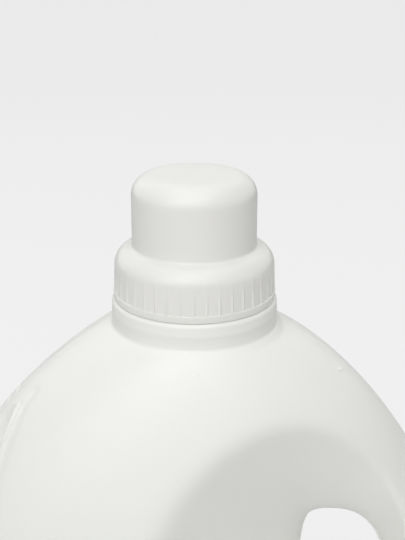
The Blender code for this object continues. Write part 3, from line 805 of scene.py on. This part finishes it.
def line_distance(y, z, line):
    """Shortest distance to a line. Front and back, and upper and lower half, mirror each other."""
    spot = np.stack([np.abs(y), GRIP_MIDDLE + np.abs(z - GRIP_MIDDLE)], 1)
    start, run = line[:-1], np.diff(line, axis=0)
    offset = spot[:, None] - start[None]
    share = np.clip((offset * run).sum(2) / (run**2).sum(1), 0, 1)
    return np.linalg.norm(offset - share[..., None] * run, axis=2).min(axis=1)


def trough(y, z, line, depth, width):
    return depth * np.exp(-((line_distance(y, z, line) / width) ** 2))


def edge_rise(y, z, line):
    """Share of the full depth beside one of the leaf's edges, from 0 on the edge to 1 past its wall."""
    return smooth(line_distance(y, z, line) / GRIP_SLOPE)


def pressed_in(y, z):
    """How far each spot is pressed in, inside the leaf and along the lines outside it."""
    level = GRIP_MIDDLE + np.abs(z - GRIP_MIDDLE)
    outer_y = np.interp(level, OUTER[:, 1], OUTER[:, 0])
    inner_y = np.interp(level, SPINE[:, 1], SPINE[:, 0])
    inside = (level < GRIP_TOP) & (np.abs(y) < outer_y) & (np.abs(y) > inner_y)
    upper_edge = np.interp(np.abs(y), INNER[::-1, 0], INNER[::-1, 1])
    below = np.maximum(upper_edge - level, 0)
    deep = GRIP_DEPTH + POINT_DEPTH * np.exp(-((below / POINT_REACH) ** 2))
    floor = deep * (1 - np.exp(-below / GRIP_FALL))
    walls = edge_rise(y, z, OUTER) * edge_rise(y, z, SPINE)
    groove = trough(y, z, GROOVE, GROOVE_DEPTH, GROOVE_WIDTH)
    valley = trough(y, z, VALLEY, VALLEY_DEPTH, VALLEY_WIDTH)
    return np.where(inside, floor * walls, groove + valley)


def side_place(y, z):
    """The x of the plain skin on the grip's side, at a depth and a height."""
    along, across = fullness(np.full_like(z, -1), z)
    turned = 1 - parameter_at(np.abs(y) / FRONT_OUTLINE.at(z), across)
    return -GRIP_OUTLINE.at(z) * quarter_curve(turned, along)


def side_normal(y, z):
    """Outward direction of the plain skin there."""
    step = 0.5 * MM
    along_y = (side_place(y + step, z) - side_place(y - step, z)) / (2 * step)
    along_z = (side_place(y, z + step) - side_place(y, z - step)) / (2 * step)
    return unit(np.stack([-np.ones_like(y), along_y, along_z], 1))


spine_depth = pressed_in(INNER[:, 0] + 2 * GRIP_SLOPE, INNER[:, 1])
print("deepest spot along the spine, mm:", (spine_depth.max() / MM).round(1))

# %% [markdown]
# The skin's grid is too coarse for such narrow walls, so the faces round the leaf's edge and the valley
# are subdivided first. Then every vertex on the grip is pressed in, square to the skin.

# %% Pressing the leaves into the skin
GRIP_X = -0.040
GRIP_BAND = 0.0075
GRIP_CUTS = 5

centres = np.array([face.center for face in skin.data.polygons])
near = np.zeros(len(centres), bool)
beside_grip = (centres[:, 0] < GRIP_X) & (centres[:, 2] > HEEL_R) & (centres[:, 2] < SHOULDER_TOP)
side_y, side_z = centres[beside_grip, 1], centres[beside_grip, 2]
near[beside_grip] = line_distance(side_y, side_z, LEAF) < GRIP_BAND / 2
near[beside_grip] |= line_distance(side_y, side_z, VALLEY) < GRIP_BAND / 2
make_active(skin)
pick(skin, "FACE", near)
bpy.ops.mesh.subdivide(number_cuts=GRIP_CUTS)
bpy.ops.object.mode_set(mode="OBJECT")

co = places(skin)
at_height = (co[:, 2] > GRIP_BOTTOM - 2 * GRIP_BAND) & (co[:, 2] < GRIP_TOP + 2 * GRIP_BAND)
on_grip = (co[:, 0] < GRIP_X) & at_height
y, z = co[on_grip, 1], co[on_grip, 2]
depth = pressed_in(y, z)
co[on_grip] = np.stack([side_place(y, z), y, z], 1) - depth[:, None] * side_normal(y, z)
move_to(skin, co)
print("grip vertices:", int(on_grip.sum()), "pressed in over a millimetre:", int((depth > MM).sum()))

# %% [markdown]
# Blown plastic has a wall of about a millimetre. Solidify grows it inwards, so the outside stays in
# place, and the neck's rim gets its real thickness, which shows when the cap is off.

# %% Wall
WALL = 0.0012

weld(skin)
wall = skin.modifiers.new("wall", "SOLIDIFY")
wall.thickness = WALL
wall.offset = -1
apply_all(skin)
dress(skin, BLOWN, "bottle_body")
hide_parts("bottle")
shade(skin, angle=50)
print("walled skin: faces", len(skin.data.polygons))

# %% [markdown]
# Small ribs cross the spine so that wet fingers don't slip. One rib starts as a ball, is drawn out into
# a low mound, and has its buried half cut off. It is then copied down the spine, each copy square to the
# outline.

# %% Grip ribs
RIB_PITCH = 0.0060
RIB_HALF_WIDTH = 0.0014
RIB_HALF = 0.0050
RIB_THICK = 0.0012
RIB_PROUD = 0.00035
RIB_SHIFT = 0.0012
RIB_SUNK = 0.0002

clean_slate()
bpy.ops.mesh.primitive_uv_sphere_add(segments=20, ring_count=12, radius=1)
mound = name_piece("grip_rib")
bpy.ops.transform.resize(value=(RIB_THICK, RIB_HALF, RIB_HALF_WIDTH))
bpy.ops.transform.translate(value=(RIB_THICK - RIB_PROUD, 0, 0))
bpy.ops.object.transform_apply(location=True, rotation=False, scale=True)
bpy.ops.object.mode_set(mode="EDIT")
bpy.ops.mesh.select_all(action="SELECT")
bpy.ops.mesh.bisect(plane_co=(RIB_SUNK, 0, 0), plane_no=(1, 0, 0), use_fill=True, clear_outer=True)
bpy.ops.object.mode_set(mode="OBJECT")
run = GRIP_OUTLINE.lengths()
top_run, bottom_run = np.interp([GRIP_TOP, GRIP_BOTTOM], GRIP_OUTLINE.z, run)
ribs = []
for z in np.interp(np.arange(top_run, bottom_run, -RIB_PITCH), run, GRIP_OUTLINE.z):
    lean = (GRIP_OUTLINE.at(z + MM) - GRIP_OUTLINE.at(z - MM)) / (2 * MM)
    make_active(mound)
    bpy.ops.object.duplicate(linked=False)
    rib = bpy.context.object
    rib.rotation_euler = (0, -np.arctan(lean), 0)
    rib.location = (-GRIP_OUTLINE.at(z), RIB_SHIFT, z)
    ribs.append(rib)
rib_count = len(ribs)
clean_slate()
bpy.data.objects.remove(mound)
for rib in ribs:
    rib.select_set(True)
bpy.context.view_layer.objects.active = ribs[0]
bpy.ops.object.join()
bpy.ops.object.transform_apply(location=True, rotation=True, scale=True)
grip_ribs = name_piece("grip_ribs")
dress(grip_ribs, BLOWN, "bottle_body")
shade(grip_ribs)
print("ribs:", rib_count)

# %% [markdown]
# A small pip stands on the right shoulder, where a vent in the mould let the air out. It is a ball drawn
# flat and turned square to the skin, with most of it buried.

# %% Shoulder pip
PIP_PLACE = (0.0556, -0.0094, 0.2108)
PIP_NORMAL = Vector((0.67, -0.20, 0.71))
PIP_R = 0.00075
PIP_PROUD = 0.00055

clean_slate()
bpy.ops.mesh.primitive_uv_sphere_add(segments=16, ring_count=10, radius=PIP_R)
pip = name_piece("shoulder_pip")
bpy.ops.transform.resize(value=(1, 1, PIP_PROUD / PIP_R))
pip.rotation_euler = PIP_NORMAL.to_track_quat("Z", "Y").to_euler()
pip.location = PIP_PLACE
bpy.ops.object.transform_apply(location=True, rotation=True, scale=True)
dress(pip, BLOWN, "bottle_body")
shade(pip)
print("pip proud by", PIP_PROUD)

# %% [markdown]
# A mould's edge is never quite sharp: where the leaf and the crease start, the plastic stands up in a
# line as fine as a hair. It is a flattened tube laid along each of the two lines, on the front and on
# the back.

# %% Beads along the leaves
BEAD_HALF = 0.00018
BEAD_PROUD = 0.00008
BEAD_TAPER = 0.04
BEADS = {"leaf": OUTER, "crease": CREASE}


def side_path(line, back):
    """A line drawn beside the spine, from its upper to its lower end, laid on the skin."""
    lower = line[1:] * (1, -1) + (0, 2 * GRIP_MIDDLE)
    y, z = np.concatenate([line[::-1], lower]).T
    y = y if back else -y
    out = side_normal(y, z)
    return np.stack([side_place(y, z), y, z], 1) - pressed_in(y, z)[:, None] * out, out


for back in (False, True):
    for part, line in BEADS.items():
        path, out = side_path(line, back)
        name = f"{part}_bead_{'back' if back else 'front'}"
        bead = tube(name, path, out, BEAD_HALF, BEAD_PROUD, BEAD_TAPER, FINE_AROUND)
        dress(bead, BLOWN, "bottle_body")
print("beads:", list(BEADS))

# %% [markdown]
# Where the two mould halves meet they leave a thin seam: a hair-line up both sides of the body, a pinch
# line under the foot, and a fin of flash round the finger opening, where the parison was pinched and the
# waste punched out. All of them lie in the plane between front and back.

# %% Seams and flash
FLASH_PROUD = 0.00075
FLASH_HALF = 0.00022
FLASH_STEPS = 241
SEAM_R = 0.00008
SEAM_PROUD_R = 1.5 * SEAM_R
SEAM_TAPER = 0.02
SEAM_STEPS = 140
PINCH_ENDS = (-0.055, 0.062)
PINCH_HALF = 3 * SEAM_R
PINCH_PROUD = 2 * SEAM_R
PINCH_TAPER = 0.05
PINCH_STEPS = 60


def parting_tube(name, x, z, *shape):
    """A tube along a path in the parting plane, in the jug's plastic."""
    path = np.stack([x, 0 * x, z], 1)
    piece = tube(name, path, np.tile([0.0, 1.0, 0.0], (len(path), 1)), *shape)
    dress(piece, BLOWN, "bottle_body")


angles = np.linspace(-pi, pi, FLASH_STEPS)
radius = HOLE.radius(angles)
x, z = HOLE.centre[0] + radius * np.cos(angles), HOLE.centre[1] + radius * np.sin(angles)
parting_tube("handle_flash", x, z, FLASH_PROUD, FLASH_HALF)

levels = np.linspace(HEEL_R, SHOULDER_TOP, SEAM_STEPS)
for name, sides in (("seam_grip", -GRIP_OUTLINE.at(levels)), ("seam_handle", HANDLE_OUTLINE.at(levels))):
    parting_tube(name, sides, levels, SEAM_R, SEAM_PROUD_R, SEAM_TAPER, FINE_AROUND)

x = np.linspace(*PINCH_ENDS, PINCH_STEPS)
parting_tube("base_pinch", x, np.full_like(x, PUSH_UP), PINCH_HALF, PINCH_PROUD, PINCH_TAPER, FINE_AROUND)
print("seams, mm high:", round((SHOULDER_TOP - HEEL_R) / MM), "pinch line, mm:", round(np.ptp(x) / MM))

# %% [markdown]
# The neck's thread rises ten millimetres in a turn and has two starts, so the cap comes off in a short
# twist. The cap carries the matching ridges inside its skirt.

# %% Threads
LEAD = 0.0100
THREAD_TURN_SHARE = 0.72
THREAD_LOW = 0.2406
THREAD_HEIGHT = 0.0014
THREAD_WIDTH = 0.0008
THREAD_TAPER = 0.07
THREAD_STEPS = 90
NECK_THREAD_R = 0.0275
CAP_THREAD_R = 0.0286
SKIRT_BORE_R = 0.0288


def thread(name, start, r, low, turn_share):
    turn = np.linspace(0, 2 * pi * turn_share, THREAD_STEPS)
    path = np.stack([r * np.cos(turn + start), r * np.sin(turn + start), low + LEAD * turn / (2 * pi)], 1)
    upright = np.tile([0.0, 0.0, 1.0], (len(path), 1))
    return tube(name, path, upright, THREAD_WIDTH, THREAD_HEIGHT / 2, THREAD_TAPER)


for number in range(2):
    start = pi * number
    ridge = thread(f"neck_thread_{number}", start, NECK_THREAD_R, THREAD_LOW, THREAD_TURN_SHARE)
    dress(ridge, BLOWN, "bottle_body")
    ridge = thread(f"cap_thread_{number}", start, CAP_THREAD_R, THREAD_LOW + LEAD / 4, THREAD_TURN_SHARE / 2)
    dress(ridge, MOULDED, "cap_body")
print("thread: rise in a turn, mm:", round(LEAD / MM), "starts:", number + 1)

# %% [markdown]
# The cap is one injection moulding that repeats itself forty times about its axis. So one slice of nine
# degrees is shaped first, from a profile that runs down the outside and back up the inside. The small
# dimple in the middle of the top is the gate, where the plastic entered the mould.

# %% Profile of the cap
CAP_BASE = COLLAR_TOP + 0.0006
CAP_TOP = CAP_BASE + 0.0462
CUP_R = 0.0233
CUP_WALL = 0.0014
CUP_ROUND = 0.0077
CUP_FILLET = 0.0012
CUP_LIP = 0.2510
CAP_ROOF = 0.2566
CUP_FILLET_END = 265
TOP_ROWS = 5
CUP_ROWS = 7
GATE_R = 0.0012
GATE_FLOOR_R = 0.8 * GATE_R
GATE_DEPTH = 0.0003
SKIRT_R = 0.0300
SKIRT_TOP = CAP_BASE + 0.0190
SKIRT_ROUND = 0.0068
SKIRT_ROUND_START = 76
SKIRT_ROWS = 16
BORE_ROUND_END = 80
RIM_R = 0.0306
RIM_TOP = CAP_BASE + 0.0021
RIM_BOTTOM = COLLAR_TOP + 0.00006
RIM_ROUND = 0.0002


def arc(centre_r, centre_z, r, start, end, steps):
    """Points on an arc of the profile, between two directions in degrees."""
    angles = np.radians(np.linspace(start, end, steps))
    return [(centre_r + r * cos(a), centre_z + r * sin(a)) for a in angles]


def cap_profile():
    """Radius and height from the middle of the top, down the outside, and back inside."""
    rows = [(0, CAP_TOP - GATE_DEPTH), (GATE_FLOOR_R, CAP_TOP - GATE_DEPTH), (GATE_R, CAP_TOP)]
    rows += [(r, CAP_TOP) for r in np.linspace(2 * GATE_R, CUP_R - CUP_ROUND, TOP_ROWS)[:-1]]
    rows += arc(CUP_R - CUP_ROUND, CAP_TOP - CUP_ROUND, CUP_ROUND, 90, 0, steps=12)
    rows += [(CUP_R, z) for z in np.linspace(CAP_TOP - CUP_ROUND, SKIRT_TOP + CUP_FILLET, CUP_ROWS)[1:-1]]
    rows += arc(CUP_R + CUP_FILLET, SKIRT_TOP + CUP_FILLET, CUP_FILLET, 180, CUP_FILLET_END, steps=6)
    rows += arc(SKIRT_R - SKIRT_ROUND, SKIRT_TOP - SKIRT_ROUND, SKIRT_ROUND, SKIRT_ROUND_START, 0, steps=16)
    rows += [(SKIRT_R, z) for z in np.linspace(SKIRT_TOP - SKIRT_ROUND, RIM_TOP, SKIRT_ROWS)[1:]]
    rows += arc(RIM_R - RIM_ROUND, RIM_TOP - RIM_ROUND, RIM_ROUND, 90, 0, steps=5)
    rows += arc(RIM_R - RIM_ROUND, RIM_BOTTOM + RIM_ROUND, RIM_ROUND, 0, -90, steps=5)
    bore_round = SKIRT_BORE_R - (SKIRT_R - SKIRT_ROUND)
    rows.append((SKIRT_BORE_R, RIM_BOTTOM))
    rows += arc(SKIRT_BORE_R - bore_round, CAP_ROOF - bore_round, bore_round, 0, BORE_ROUND_END, steps=7)
    rows += [(CUP_R, CAP_ROOF), (CUP_R, CUP_LIP)]
    rows += [(CUP_R - CUP_WALL, CUP_LIP), (CUP_R - CUP_WALL, CAP_ROOF)]
    rows += arc(CUP_R - CUP_ROUND, CAP_TOP - CUP_ROUND, CUP_ROUND - CUP_WALL, 0, 90, steps=8)
    rows.append((0, CAP_TOP - CUP_WALL))
    return np.array(rows)


profile = cap_profile()
print("cap profile: points", len(profile), "highest, mm:", (profile[:, 1].max() / MM).round(1))

# %% [markdown]
# Each slice has half a rib at either edge: a flat field lies between thin ribs with steep flanks, and
# both run out where the shoulder starts to curve. A spin copies the slice round the axis, and a weld
# joins the copies into one skin. That is sure to close, since the ribs of neighbours share their crest.

# %% Slices of the cap
FLUTE_TOP = CAP_BASE + 0.0150
FLUTE_PROUD = 0.0005
FLUTE_DEEP = 0.0004
FLUTES = 40
RIB_FLANK_SHARE = 0.25
SLICE_COLUMNS = 14

r, z = profile.T
column = np.linspace(0, 1, SLICE_COLUMNS + 1)
across = 1 - np.abs(2 * column - 1)
hollow = smooth(across / RIB_FLANK_SHARE)
outside = np.zeros(len(profile), bool)
outside[: int(np.argmax(r > RIM_R - 2 * RIM_ROUND))] = True
strength = np.where(outside, np.clip((FLUTE_TOP - z) / (FLUTE_TOP - RIM_TOP), 0, 1), 0)
radius = r[:, None] + strength[:, None] * (FLUTE_PROUD - FLUTE_DEEP * hollow[None])
angle = 2 * pi * column / FLUTES
level = np.tile(z[:, None], (1, len(angle)))
cap = sheet("cap", np.stack([radius * np.cos(angle), radius * np.sin(angle), level], 2))
make_active(cap)
bpy.ops.object.mode_set(mode="EDIT")
bpy.ops.mesh.select_all(action="SELECT")
sweep = 2 * pi * (FLUTES - 1) / FLUTES
bpy.ops.mesh.spin(steps=FLUTES - 1, dupli=True, angle=sweep, center=(0, 0, 0), axis=(0, 0, 1))
bpy.ops.object.mode_set(mode="OBJECT")
weld(cap)
dress(cap, MOULDED, "cap_body")
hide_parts("dosing_cap")
shade(cap)
print("cap: faces", len(cap.data.polygons), "rows", len(profile))

# %% [markdown]
# The pouring insert is pressed into the neck, and the sealing ring lies under the cap's roof. Both keep
# their solid model's shape. Their edges get the small radii that a mould or a punch always leaves.

# %% Insert and seal
SOFT_EDGE = 0.2 * MM

for name, finish in (("pour_spout", INSERT), ("cap_seal", FOAM)):
    node = bpy.data.objects[name]
    node.data.materials.clear()
    node.data.materials.append(finish)
    soft_edge = node.modifiers.new("soft_edge", "BEVEL")
    soft_edge.width = SOFT_EDGE
    soft_edge.segments = 2
    soft_edge.limit_method = "ANGLE"
    print(name, "dressed:", len(node.data.polygons), "faces")

# %% [markdown]
# A plain pale floor and a plain pale world stand for the studio. The camera sees both as the same even
# grey white, and only a part of the floor's own light is mixed in, so the jug's shadow stays but stays
# faint.

# %% Floor and world
BACKGROUND = 0.863
FLOOR_WHITE = (0.80, 0.80, 0.80, 1)
FLOOR_GLOW = 0.908
SHADOW_SHARE = 0.12
WORLD_LIGHT = 0.18
WHITE = (1, 1, 1, 1)
FLOOR_R = 12
FLOOR_EDGES = 96
CENTRE = (0, 0, 0)

clean_slate()
bpy.ops.mesh.primitive_circle_add(vertices=FLOOR_EDGES, radius=FLOOR_R, fill_type="NGON", location=CENTRE)
floor = name_piece("floor")
ground = Finish("floor_paper", base_color=FLOOR_WHITE, roughness=0.9)
paper = Wire(ground, ground.shader.outputs[0])
glow = ground.add("ShaderNodeEmission", {}, {"Color": WHITE, "Strength": FLOOR_GLOW})
seen = ground.add("ShaderNodeLightPath", {}, {}, "Is Camera Ray")
ground.show("Material Output", seen * (1 - SHADOW_SHARE), paper, glow)
floor.data.materials.append(ground.material)

world = bpy.data.worlds.new("studio")
bpy.context.scene.world = world
world.use_nodes = True
sky = Nodes(world.node_tree)
sky.tree.nodes.remove(sky.tree.nodes["Background"])
seen = sky.add("ShaderNodeLightPath", {}, {}, "Is Camera Ray")
for ray in ("Is Glossy Ray", "Is Transmission Ray"):
    seen = seen.larger(sky.add("ShaderNodeLightPath", {}, {}, ray))
lit_white, seen_white = (
    sky.add("ShaderNodeBackground", {}, {"Color": WHITE, "Strength": strength})
    for strength in (WORLD_LIGHT, BACKGROUND)
)
sky.show("World Output", seen, lit_white, seen_white)
print("background:", BACKGROUND, "world light:", WORLD_LIGHT)

# %% [markdown]
# The light is soft and comes from seven broad lamps. The brightest hangs in front and above, the key
# lamp stands at the front left, and one is straight above, so the upright walls are a shade darker than
# the tops. A faint lamp keeps the right side from going dull, and three faint ones behind lift the
# outlines.

# %% Lamps


def softbox(name, place, aim, size, watts):
    clean_slate()
    bpy.ops.object.light_add(type="AREA", location=place)
    lamp = bpy.context.object
    lamp.name = name
    lamp.data.shape = "DISK"
    lamp.data.size = size
    lamp.data.energy = watts
    lamp.rotation_euler = (Vector(aim) - Vector(place)).to_track_quat("-Z", "Y").to_euler()


NECK_POINT = (0, 0, 0.2)
LAMPS = {
    "key_lamp": ((-0.7, -1.1, 0.9), 1.2, 5.3),
    "front_lamp": ((0.0, -1.0, 1.2), 1.4, 8.8),
    "top_lamp": ((0.0, 0.0, 1.4), 1.2, 4.3),
    "right_lamp": ((1.3, -0.1, 0.5), 1.0, 1.5),
    "rear_lamp": ((0.0, 1.0, 1.2), 1.2, 1.6),
    "rear_left_lamp": ((-0.9, 0.8, 0.7), 1.2, 2.2),
    "rear_right_lamp": ((0.9, 0.8, 0.7), 1.2, 1.4),
}
for name, (place, size, watts) in LAMPS.items():
    softbox(name, place, NECK_POINT, size, watts)
print("lamps:", {name: watts for name, (place, size, watts) in LAMPS.items()})
